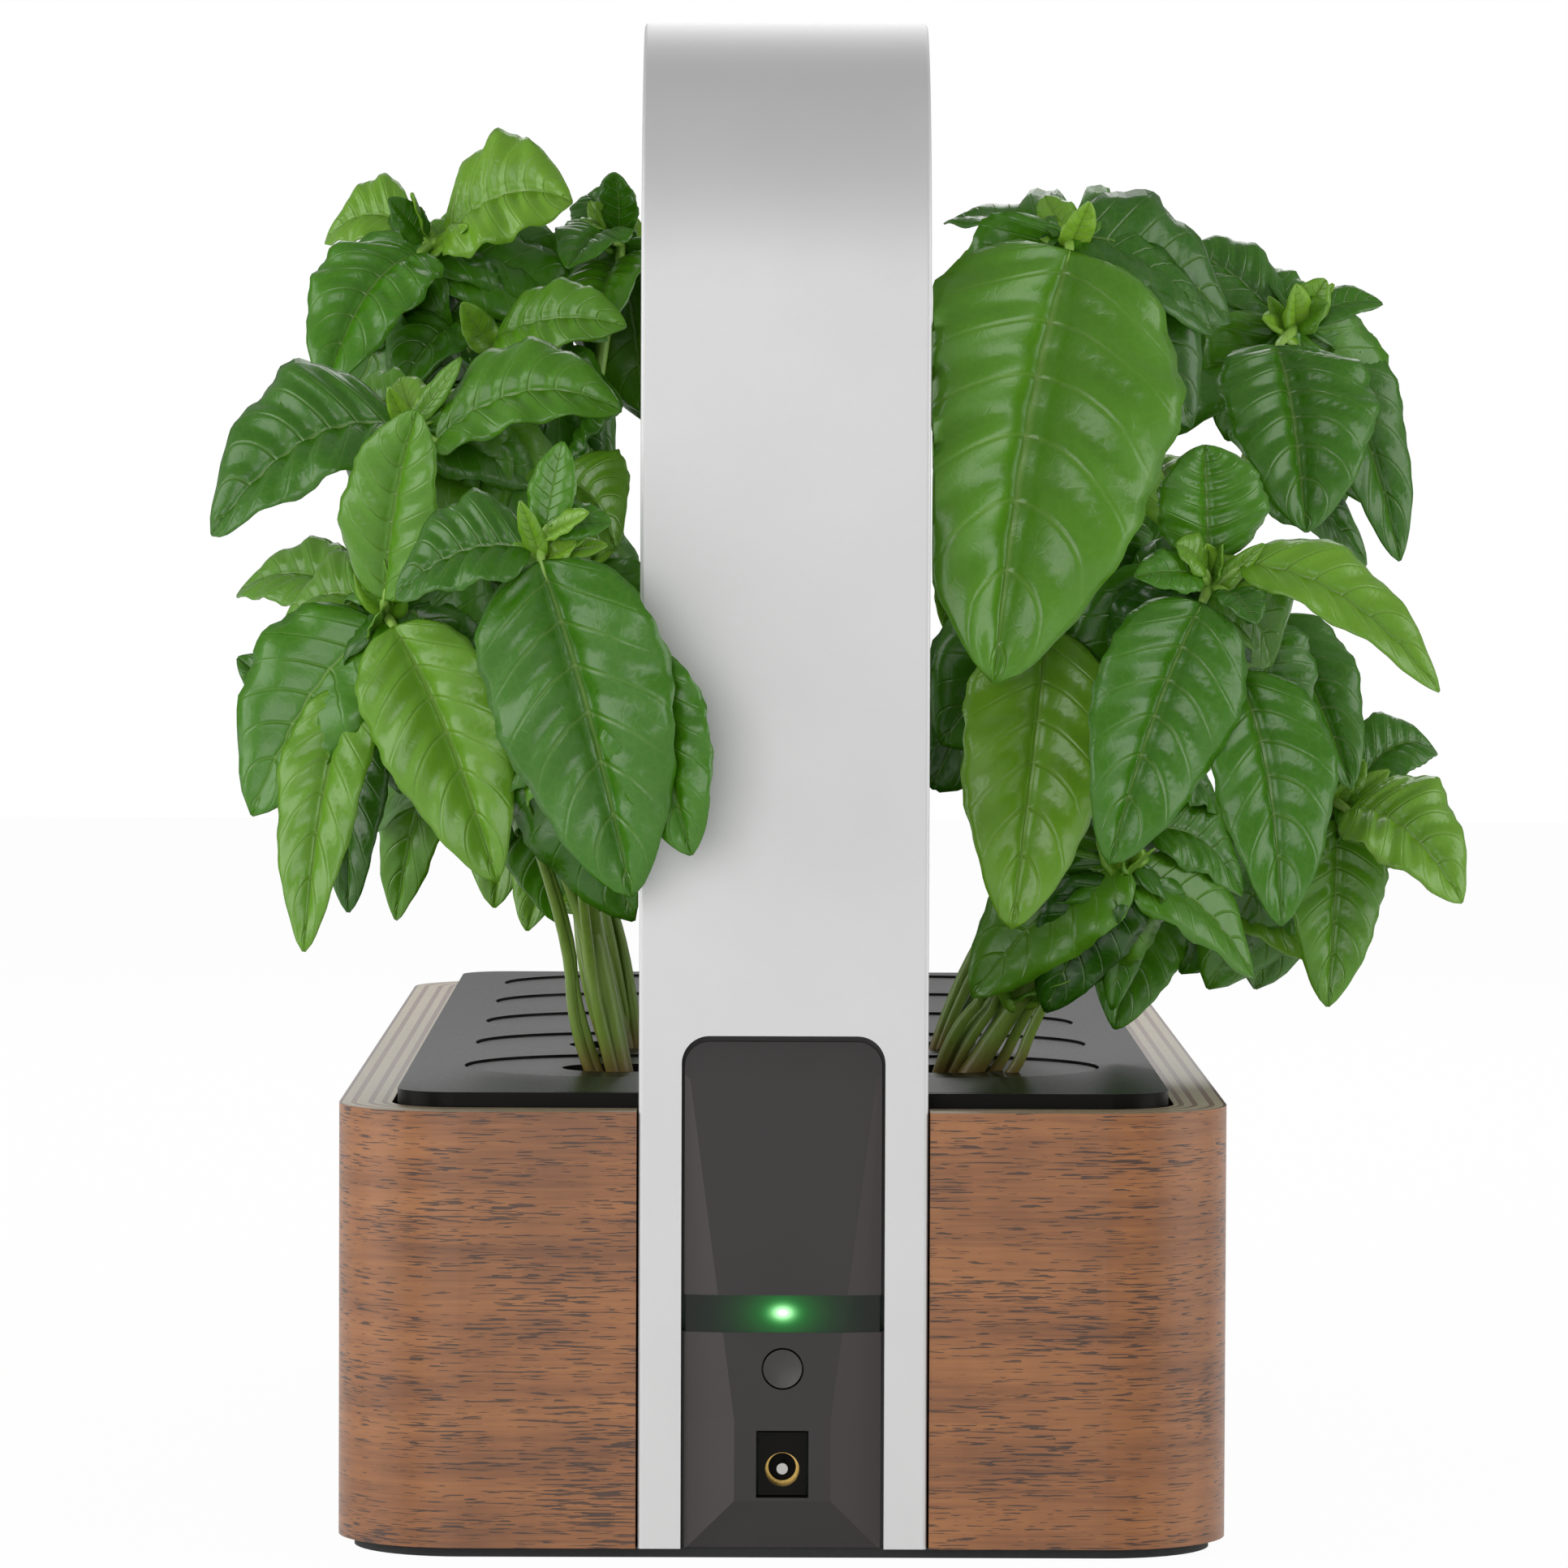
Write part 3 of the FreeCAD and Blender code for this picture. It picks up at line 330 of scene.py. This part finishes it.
def stemFinish():
    f = Finish("basilStem")
    split = f.add("SeparateXYZ")
    f.join(f.add("TexCoord").outputs["Object"], split.inputs[0])
    rise = f.math("DIVIDE", f.math("SUBTRACT", split.outputs[2], stemTone["foot"]), stemTone["reach"])
    streak = f.noise(f.place((400, 400, 40)), 2, 4)
    color = f.ramp(rise, [(0, linear(116, 98, 50)), (stemTone["greenAt"], linear(116, 144, 56)),
                          (1, linear(142, 184, 80))])
    fibre = f.ramp(streak, [(0.3, (0.6, 0.65, 0.55)), (0.65, (1, 1, 1))])
    color = f.mix(0.5, color, fibre, "MULTIPLY")
    f.join(color, f.shader.inputs["Base Color"])
    f.plain(Roughness=0.4)
    f.bump(streak, 0.4, 0.0003)
    return f.material


# Millimetres from the pod's centre at the lid's top; a leaf has its joint, base, tip, width, sag
plants = {
    "03": {"column": -1, "stems": [["low", "high", "crown"], ["low", "mid", "arch"]],
           "joints": {"low": (-8, -6, 38), "mid": (-13, -6, 97), "high": (-24, -13, 135),
                      "crown": (-39, -21, 162), "arch": (-1, -3, 163)},
           "leaves": [("crown", (-36, -23, 163), (-10, -35, 170), 26, -5),
                      ("crown", (-41, -27, 160), (-59, -43, 132), 24, -5),
                      ("crown", (-40, -23, 163), (-47, -29, 171), 7, 0),
                      ("crown", (-37, -11, 160), (-18, -17, 154), 15, -3),
                      ("crown", (-43, -11, 165), (-61, -1, 163), 16, -4),
                      ("arch", (-1, -7, 165), (-2, -13, 177), 9, -1),
                      ("arch", (-2, -11, 163), (-11, -29, 157), 15, -3),
                      ("arch", (-3, 1, 165), (-8, 9, 173), 13, -2),
                      ("arch", (-1, -11, 158), (-5, -35, 143), 17, -4),
                      ("high", (-28, -17, 146), (-45, -35, 131), 20, -5),
                      ("high", (-21, -11, 150), (-2, -1, 155), 17, -4),
                      ("high", (-25, -35, 143), (1, -51, 145), 17, -4),
                      ("high", (-26, -31, 141), (-32, -39, 150), 7, 0),
                      ("high", (-35, -1, 135), (-60, 9, 133), 14, -3),
                      ("mid", (-14, -21, 114), (-1, -41, 101), 19, -4),
                      ("mid", (-11, -11, 120), (0, -21, 130), 18, -4),
                      ("mid", (-20, 4, 104), (-36, 19, 83), 20, -5),
                      ("mid", (-18, -1, 77), (-26, -11, 28), 24, -4),
                      ("low", (-13, -11, 54), (-19, -23, 24), 16, -3),
                      ("mid", (-11, -17, 81), (-4, -31, 50), 18, -4)]},
    "01": {"column": -1, "stems": [["low", "mid", "left", "tip"], ["low", "fork", "face", "over"]],
           "joints": {"low": (-6, -8, 33), "mid": (-25, -26, 70), "left": (-44, -38, 89),
                      "tip": (-39, -26, 125), "fork": (-10, -56, 71), "face": (-13, -87, 103),
                      "over": (2, -91, 85)},
           "leaves": [("tip", (-35, -30, 122), (1, -40, 128), 22, -6),
                      ("tip", (-42, -28, 125), (-78, -28, 104), 33, -7),
                      ("tip", (-41, -16, 129), (-56, 2, 126), 15, -3),
                      ("left", (-44, -46, 92), (-37, -60, 128), 20, -2),
                      ("left", (-47, -28, 90), (-66, -6, 85), 18, -4),
                      ("left", (-51, -8, 91), (-76, 20, 92), 16, -4),
                      ("left", (-53, -24, 74), (-74, -12, 80), 13, 3),
                      ("left", (-42, -48, 87), (-22, -58, 39), 25, -4),
                      ("left", (-50, -40, 75), (-59, -48, 25), 18, -5),
                      ("left", (-48, -32, 73), (-62, -34, 34), 16, -4),
                      ("left", (-49, -20, 70), (-52, -20, 31), 16, -4),
                      ("face", (-15, -88, 102), (-40, -84, 93), 23, -4),
                      ("face", (-12, -88, 106), (-9, -88, 122), 9, 0),
                      ("face", (-11, -88, 106), (0, -90, 107), 8, 0),
                      ("face", (-13, -90, 100), (4, -93, 38), 35, -3),
                      ("over", (5, -94, 83), (15, -97, 46), 20, -2),
                      ("mid", (-32, -8, 66), (-44, 8, 28), 15, -3),
                      ("mid", (-22, -18, 62), (-12, 2, 28), 21, -4),
                      ("mid", (-29, -13, 82), (-10, 2, 88), 18, -4),
                      ("mid", (-27, -8, 74), (-48, 22, 60), 18, -4)]},
    "04": {"column": 1, "stems": [["low", "mid", "crown"], ["low", "side"]],
           "joints": {"low": (19, -9, 33), "mid": (51, -15, 87), "crown": (71, -17, 146),
                      "side": (77, -43, 52)},
           "leaves": [("crown", (68, -13, 147), (47, -7, 161), 16, -4),
                      ("crown", (73, -15, 147), (89, -11, 151), 8, -2),
                      ("crown", (66, -35, 142), (71, -51, 105), 31, -4),
                      ("crown", (75, -11, 144), (93, -9, 99), 20, -6),
                      ("crown", (71, -11, 150), (64, -1, 157), 10, -2),
                      ("mid", (61, -7, 114), (87, 1, 98), 18, -4),
                      ("mid", (63, -51, 88), (79, -67, 55), 20, -4),
                      ("mid", (43, -1, 97), (29, 9, 120), 22, -4),
                      ("mid", (51, 11, 80), (46, 41, 47), 22, -4),
                      ("side", (80, -49, 50), (102, -55, 32), 25, -6),
                      ("side", (78, -45, 48), (76, -49, 11), 20, -4),
                      ("side", (83, -37, 55), (99, -27, 61), 14, -4),
                      ("low", (45, -31, 34), (34, -43, 6), 20, -3),
                      ("low", (51, -31, 31), (76, -39, 19), 22, -5),
                      ("low", (23, -9, 41), (15, -17, 18), 13, -2),
                      ("low", (36, -11, 48), (53, -11, 20), 20, -4)]},
    "02": {"column": 1, "stems": [["low", "fork", "head"], ["low", "mid", "crown"]],
           "joints": {"low": (14, -8, 14), "fork": (34, -22, 41), "head": (49, -38, 95),
                      "mid": (21, -32, 89), "crown": (22, -34, 161)},
           "leaves": [("crown", (22, -40, 159), (7, -66, 77), 52, -5),
                      ("crown", (18, -28, 162), (-1, -6, 165), 11, -2),
                      ("crown", (17, -18, 161), (-1, -4, 150), 14, -3),
                      ("crown", (24, -34, 163), (28, -32, 165), 5, 0),
                      ("crown", (20, -34, 163), (17, -36, 164), 5, 0),
                      ("crown", (27, -18, 161), (44, 12, 152), 18, -4),
                      ("head", (49, -34, 100), (48, -36, 122), 22, -2),
                      ("head", (47, -46, 97), (34, -54, 97), 10, -1),
                      ("head", (48, -44, 98), (42, -48, 103), 9, -1),
                      ("head", (52, -46, 94), (57, -54, 88), 10, -1),
                      ("head", (55, -40, 99), (93, -40, 75), 18, -6),
                      ("head", (47, -50, 92), (29, -64, 43), 28, -3),
                      ("head", (54, -44, 79), (62, -56, 31), 24, -4),
                      ("head", (57, -28, 86), (67, -18, 62), 18, -3),
                      ("head", (44, -18, 104), (40, 2, 120), 18, -3),
                      ("mid", (18, -40, 87), (11, -52, 30), 29, -3),
                      ("mid", (11, -18, 107), (0, -8, 85), 17, -3),
                      ("mid", (27, -18, 98), (37, 2, 107), 18, -3),
                      ("fork", (36, -16, 35), (32, -12, 12), 9, -2),
                      ("fork", (39, -14, 47), (58, 0, 34), 20, -4),
                      ("fork", (39, -12, 57), (53, 0, 50), 18, -4)]},
}

finishes = {
    "rubber_pad": speckled("rubberPad", linear(24, 24, 24), 0.75, grain=600),
    "walnut_ply": walnutFinish(),
    "black_plastic": speckled("darkPlastic", linear(18, 17, 15), 0.32, Specular_IOR_Level=0.15,
                              IOR=1.3),
    "arch_metal": speckled("blastedAluminium", linear(205, 205, 205), 0.55, 0.5, 2600, 0.00002, 0.03),
    "steel": speckled("plainSteel", linear(176, 174, 170), 0.3, 1.0, 900),
    "panel_plastic": panelFinish(),
    "window_plastic": windowFinish(),
    "led_green": speckled("greenLamp", linear(60, 240, 120), 0.3, Emission_Color=(0.1, 1.0, 0.3),
                          Emission_Strength=1.5),
    "board_green": speckled("circuitBoard", linear(26, 74, 46), 0.35, grain=300),
    "brass": speckled("platedContact", linear(206, 170, 96), 0.25, 1.0),
    "white_plastic": speckled("whitePlastic", linear(222, 221, 216), 0.45),
    "led_yellow": speckled("lampChips", linear(232, 214, 130), 0.3, grain=300),
    "clear_cover": speckled("frostedCover", linear(236, 238, 238), 0.35, Transmission_Weight=0.7),
    "grow_foam": speckled("growFoam", linear(74, 56, 40), 0.9, grain=420, depth=0.0004, lift=0.4),
    "button": speckled("buttonGrey", linear(48, 44, 43), 0.4, grain=1200),
    "stem": stemFinish(),
    "leaf": leafFinish(),
    "pod": podFinish(),
}
smoothUnder = math.radians(28)


def finishFor(part):
    if part["node"].startswith("pod_cap"):
        return finishes["pod"]
    return finishes["button" if part["node"] == "power_button" else part["material_slot"]]


for part in frame["record"]["subparts"]:
    item = nodes[part["node"]]
    item.data.materials.clear()
    item.data.materials.append(finishFor(part))
    bpy.ops.object.select_all(action="DESELECT")
    item.select_set(True)
    bpy.context.view_layer.objects.active = item
    bpy.ops.object.shade_smooth_by_angle(angle=smoothUnder)
bpy.ops.object.select_all(action="DESELECT")
print("materials ready")

# A leaf's grid, its thickness in metres, and its bulges and waves as shares of its width
leafForm = {"across": 18, "along": 40, "thick": 0.0003, "least": 0.0003, "full": 1.08,
            "quilt": 0.06, "wave": 0.05, "teeth": 60, "toothDeep": 0.018, "rimTuck": 0.97,
            "archClear": 0.0277, "legFront": -0.1945}
mm = 0.001


def leafAxes(start, tip, away):
    # The same lie as the plain solid: the leaf's upper side looks up, outward and to the panel's end
    run = tip - start
    if abs(run.z) < 0.7 * run.length:
        facing = Vector((away * 0.5, -1.1, 0.9))
    else:
        facing = Vector((away * 0.35, -1, 0.35))
    side = run.cross(facing).normalized()
    return run, side, side.cross(run).normalized()


def addLeaf(start, tip, wide, sag, away, tint, chance, detail=1.0):
    across = max(6, int(leafForm["across"] * detail))
    along = max(10, int(leafForm["along"] * detail))
    bpy.ops.mesh.primitive_grid_add(x_subdivisions=across, y_subdivisions=along, size=2)
    leaf = bpy.context.object
    run, side, up = leafAxes(start, tip, away)
    phase, ripple = chance.uniform(0, 6), chance.uniform(2.2, 3.6)
    skew, twist = chance.uniform(-0.06, 0.06), chance.uniform(-0.5, 0.5)
    bend = chance.uniform(-0.05, 0.05) * run.length
    uvs = []
    for point in leaf.data.vertices:
        t, s = point.co.x, (point.co.y + 1) / 2
        uvs.append(((t + 1) / 2, s))
        outline = math.sin(math.pi * s ** 0.74) ** 0.6 * (1 - 0.5 * max(0, s - 0.86))
        serration = 1 + leafForm["toothDeep"] * math.sin(s * leafForm["teeth"] + phase) * abs(t) ** 4
        half = max(wide * leafForm["full"] / 2 * outline * serration, leafForm["least"])
        half *= 1 + skew * (1 if t > 0 else -1)
        middle = start + run * s + Vector((0, 0, -4 * sag * s * (1 - s)))
        middle += side * bend * math.sin(math.pi * s)
        sweep = (s - veins["sweep"] * abs(t) ** veins["curve"]) * veins["pairs"]
        pillow = 1 - (2 * abs(sweep - math.floor(sweep) - 0.5)) ** 2.2
        quilt = leafForm["quilt"] * wide * pillow * (1 - abs(t) ** 3) * min(1, abs(t) * 6) * outline
        swing = math.sin(s * 2 * math.pi * ripple + phase + (t > 0))
        wave = leafForm["wave"] * wide * swing * t * t
        dome = half * (0.62 * abs(t) - 0.42 * t * t)
        turn = twist * s * t * half * 0.5
        spot = middle + side * half * t * leafForm["rimTuck"] + up * (dome + quilt + (wave + turn) * outline)
        if abs(spot.x) < leafForm["archClear"] and spot.y > leafForm["legFront"]:
            spot.x = math.copysign(leafForm["archClear"], start.x)
        point.co = spot
    for loop in leaf.data.loops:
        leaf.data.uv_layers[0].data[loop.index].uv = uvs[loop.vertex_index]
    shade = leaf.data.attributes.new("tint", "FLOAT", "POINT")
    shade.data.foreach_set("value", [tint] * len(leaf.data.vertices))
    leaf.data.update()
    lie = leaf.data.attributes.new("topSide", "FLOAT_VECTOR", "POINT")
    flip = 1 if sum(face.normal.dot(up) for face in leaf.data.polygons) > 0 else -1
    lie.data.foreach_set("vector", [flip * part for point in leaf.data.vertices for part in point.normal])
    return leaf


def addTube(points, radii):
    # A smooth stem through its joints, thinner towards its end
    curve = bpy.data.curves.new("stem", "CURVE")
    curve.dimensions = "3D"
    curve.bevel_depth = 1
    curve.bevel_resolution = 3
    curve.resolution_u = 6
    curve.use_fill_caps = True
    line = curve.splines.new("NURBS")
    line.points.add(len(points) - 1)
    for knot, spot, radius in zip(line.points, points, radii):
        knot.co = (*spot, 1)
        knot.radius = radius
    line.order_u = 3
    line.use_endpoint_u = True
    stem = bpy.data.objects.new("stem", curve)
    bpy.context.collection.objects.link(stem)
    bpy.ops.object.select_all(action="DESELECT")
    stem.select_set(True)
    bpy.context.view_layer.objects.active = stem
    bpy.ops.object.convert(target="MESH")
    return bpy.context.object


def joined(name, items, finish, thick=None):
    bpy.ops.object.select_all(action="DESELECT")
    for item in items:
        item.select_set(True)
    bpy.context.view_layer.objects.active = items[0]
    bpy.ops.object.join()
    whole = bpy.context.object
    whole.name = name
    bpy.ops.object.transform_apply(location=True, rotation=True, scale=True)
    if thick:
        wall = whole.modifiers.new("wall", "SOLIDIFY")
        wall.thickness = thick
        wall.offset = 0
        bpy.ops.object.modifier_apply(modifier="wall")
    bpy.ops.object.shade_smooth()
    whole.data.materials.clear()
    whole.data.materials.append(finish)
    return whole


# Leaves added at each joint, in millimetres: young ones that stand up and larger ones that hang
young = {"count": 6, "long": (7, 16), "wide": (4, 9), "lift": (0.2, 1.4), "sag": 0,
         "tint": (0.6, 1), "detail": 0.35}
filler = {"count": 12, "long": (22, 46), "wide": (16, 29), "lift": (-1.7, -0.3), "sag": -4,
          "tint": (0.0, 0.6), "detail": 0.55}
# In metres: where plants keep off the arch's sides and where its front leg stands
room = {"archClear": 0.0285, "byLeg": -0.17, "pastLeg": -0.195, "shortest": 0.006}
stalk = {"apart": 0.0052, "inward": 0.0026, "thick": 0.0026, "taper": 0.0013, "twigs": 3,
         "stray": 0.004, "twigRadii": [0.0012, 0.0012, 0.001, 0.0007],
         "leafRadii": [0.0012, 0.001, 0.0008, 0.0004]}


def insideBox(spot, low, high):
    spot = Vector([min(max(value, a), b) for value, a, b in zip(spot, low, high)])
    if abs(spot.x) < room["archClear"]:
        spot.x = math.copysign(room["archClear"], spot.x or low[0])
    return spot


def addedLeaves(name, start, column, low, high, chance):
    leaves = []
    for kind in (young, filler):
        hangs = kind is filler
        for number in range(kind["count"]):
            turn = chance.uniform(0, 2 * math.pi)
            lift = chance.uniform(*kind["lift"])
            side, back = math.cos(turn), math.sin(turn)
            if hangs:
                back = abs(back)
                if number % 2:
                    side = -column * abs(side)
            aim = Vector((side, back, lift)).normalized()
            spot = start + Vector((0, 0, chance.uniform(-0.004, 0.002)))
            if hangs and (name == "low" or start.y < room["byLeg"]):
                continue
            end = insideBox(spot + aim * chance.uniform(*kind["long"]) * mm, low, high)
            inLeg = start.y < room["byLeg"] and end.y > room["pastLeg"]
            if (end - spot).length < room["shortest"] or inLeg:
                continue
            leaves.append(addLeaf(spot, end, chance.uniform(*kind["wide"]) * mm, kind["sag"] * mm, column,
                                  chance.uniform(*kind["tint"]), chance, kind["detail"]))
    return leaves


def addPiece(name, items, node, slot, thick=None):
    piece = joined(name, items, finishes[slot], thick)
    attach(piece, "lid_with_plants")
    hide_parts(node)


def growPlant(tag, plant, chance):
    low, high = [Vector(corner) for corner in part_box("basil_leaves_" + tag)]
    column = plant["column"]
    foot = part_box("basil_stems_" + tag)[0][2]
    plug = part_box("grow_plug_" + tag)
    centre = Vector(((plug[0][0] + plug[1][0]) / 2, (plug[0][1] + plug[1][1]) / 2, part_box("lid")[1][2]))
    joints = {name: centre + Vector(spot) * mm for name, spot in plant["joints"].items()}
    leaves, tubes = [], []
    for number, route in enumerate(plant["stems"]):
        start = Vector((centre.x - column * stalk["inward"],
                        centre.y + stalk["apart"] * (number - 0.5), foot))
        first, second = joints[route[0]], joints[route[1]]
        points = [start, start + (first - start) * 0.5] + [joints[name] for name in route]
        radii = [stalk["thick"] - stalk["taper"] * step / (len(points) - 1)
                 for step in range(len(points))]
        tubes.append(addTube(points, radii))
        for _ in range(stalk["twigs"]):
            aside = Vector([chance.uniform(-stalk["stray"], stalk["stray"]) for _ in range(3)])
            points = [start + aside * 0.5, (start + first) / 2 + aside * 2, first + aside, second]
            tubes.append(addTube(points, stalk["twigRadii"]))
    for joint, base, tip, wide, sag in plant["leaves"]:
        start, end = centre + Vector(base) * mm, centre + Vector(tip) * mm
        detail = 1.0 if wide > 12 else 0.5
        tint = chance.uniform(0.2, 0.8)
        leaves.append(addLeaf(start, end, wide * mm, sag * mm, column, tint, chance, detail))
        inner = start + (end - start) * 0.06
        tubes.append(addTube([joints[joint], (joints[joint] + start) / 2, start, inner],
                             stalk["leafRadii"]))
    for name, start in joints.items():
        leaves += addedLeaves(name, start, column, low, high, chance)
    addPiece("basilLeaves" + tag, leaves, "basil_leaves_" + tag, "leaf", leafForm["thick"])
    addPiece("basilStems" + tag, tubes, "basil_stems_" + tag, "stem")


for plantTag, plantForm in plants.items():
    growPlant(plantTag, plantForm, random.Random(int(plantTag) * 7))
print("plants grown")

# Each lamp has its name, place and power
studio = {"floor": 6.0, "below": -0.0002, "seen": 0.97, "world": 0.42, "lampSide": 0.9,
          "aim": (0, 0, 0.12),
          "lamps": (("leftSoft", (-1.2, -0.4, 0.4), 8), ("rightSoft", (1.2, -0.4, 0.4), 7),
                    ("backSoft", (0.1, 1.2, 1.0), 8), ("frontSoft", (-0.4, -1.6, 0.3), 8.5))}


def addFloor():
    bpy.ops.mesh.primitive_plane_add(size=studio["floor"], location=(0, 0, studio["below"]))
    floor = bpy.context.object
    floor.name = "floor"
    f = Finish("whiteFloor")
    path = f.add("LightPath")
    seen = f.math("MAXIMUM", path.outputs["Is Camera Ray"], f.math(
        "MAXIMUM", path.outputs["Is Glossy Ray"], path.outputs["Is Transmission Ray"]))
    f.plain(Base_Color=(0.8, 0.8, 0.8), Roughness=0.7)
    white = f.add("Emission")
    share = f.add("MixShader")
    f.join(f.math("MULTIPLY", seen, studio["seen"]), share.inputs[0])
    f.join(f.shader.outputs[0], share.inputs[1])
    f.join(white.outputs[0], share.inputs[2])
    f.join(share.outputs[0], f.output.inputs[0])
    floor.data.materials.append(f.material)


def addWorld():
    world = bpy.data.worlds.new("paleRoom")
    bpy.context.scene.world = world
    world.use_nodes = True
    tree = world.node_tree
    path = tree.nodes.new("ShaderNodeLightPath")
    level = tree.nodes.new("ShaderNodeMapRange")
    level.inputs["To Min"].default_value = studio["world"]
    level.inputs["To Max"].default_value = 1
    tree.links.new(path.outputs["Is Camera Ray"], level.inputs["Value"])
    tree.nodes["Background"].inputs["Color"].default_value = (1, 1, 1, 1)
    tree.links.new(level.outputs[0], tree.nodes["Background"].inputs["Strength"])


def addLamps():
    for name, place, power in studio["lamps"]:
        bpy.ops.object.light_add(type="AREA", location=place)
        lamp = bpy.context.object
        lamp.name = name
        lamp.data.size = studio["lampSide"]
        lamp.data.energy = power
        aim = Vector(studio["aim"]) - Vector(place)
        lamp.rotation_euler = aim.to_track_quat("-Z", "Y").to_euler()


addFloor()
addWorld()
addLamps()
bpy.context.scene.view_settings.view_transform = "Standard"
print("studio ready")
